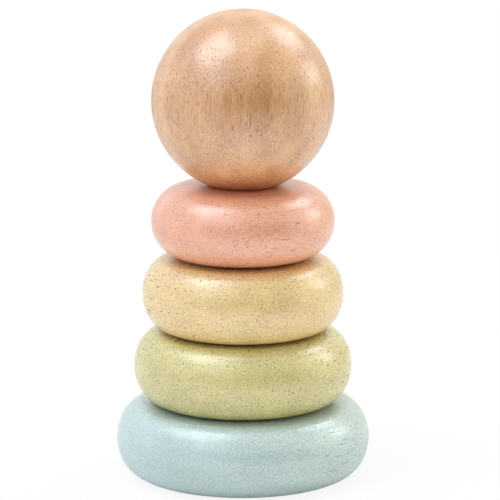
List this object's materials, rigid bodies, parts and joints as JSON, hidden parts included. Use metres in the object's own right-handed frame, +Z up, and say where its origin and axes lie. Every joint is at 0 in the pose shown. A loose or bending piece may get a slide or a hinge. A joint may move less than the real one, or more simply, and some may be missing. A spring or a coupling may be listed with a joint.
{
  "type": "stacking tower",
  "caption": "Wooden toy stacking tower: round-sided rings of falling size threaded on a post glued into a base ring, capped by a drilled ball. Rings and ball lift off.",
  "frame": {"origin": "middle of the base ring's underside, on the post's axis", "axes": "+Z up along the post; X and Y lie in the table's plane and are interchangeable"},
  "size_m": [0.086, 0.086, 0.1587],
  "materials": {
    "blue_stain": "pastel blue water-based stain under a satin coat, wood pores showing faintly",
    "green_stain": "pastel yellow-green water-based stain under a satin coat, wood pores showing",
    "yellow_stain": "pastel yellow water-based stain under a satin coat, wood pores showing",
    "pink_stain": "pastel pink water-based stain under a satin coat, wood pores showing",
    "clear_coat": "natural pale hardwood under a clear satin coat",
    "bare_wood": "sanded natural pale hardwood dowel"
  },
  "bodies": {
    "stand": {"base_ring": "blue_stain", "centre_post": "bare_wood"},
    "green_ring": {"green_ring": "green_stain"},
    "yellow_ring": {"yellow_ring": "yellow_stain"},
    "pink_ring": {"pink_ring": "pink_stain"},
    "ball": {"top_ball": "clear_coat"}
  },
  "joints": [
    {"name": "green_ring_lift", "type": "slide", "parent": "stand", "child": "green_ring", "axis": [0, 0, 1], "range_m": [0, 0.1]},
    {"name": "yellow_ring_lift", "type": "slide", "parent": "green_ring", "child": "yellow_ring", "axis": [0, 0, 1], "range_m": [0, 0.075]},
    {"name": "pink_ring_lift", "type": "slide", "parent": "yellow_ring", "child": "pink_ring", "axis": [0, 0, 1], "range_m": [0, 0.05]},
    {"name": "ball_lift", "type": "slide", "parent": "pink_ring", "child": "ball", "axis": [0, 0, 1], "range_m": [0, 0.025]}
  ]
}
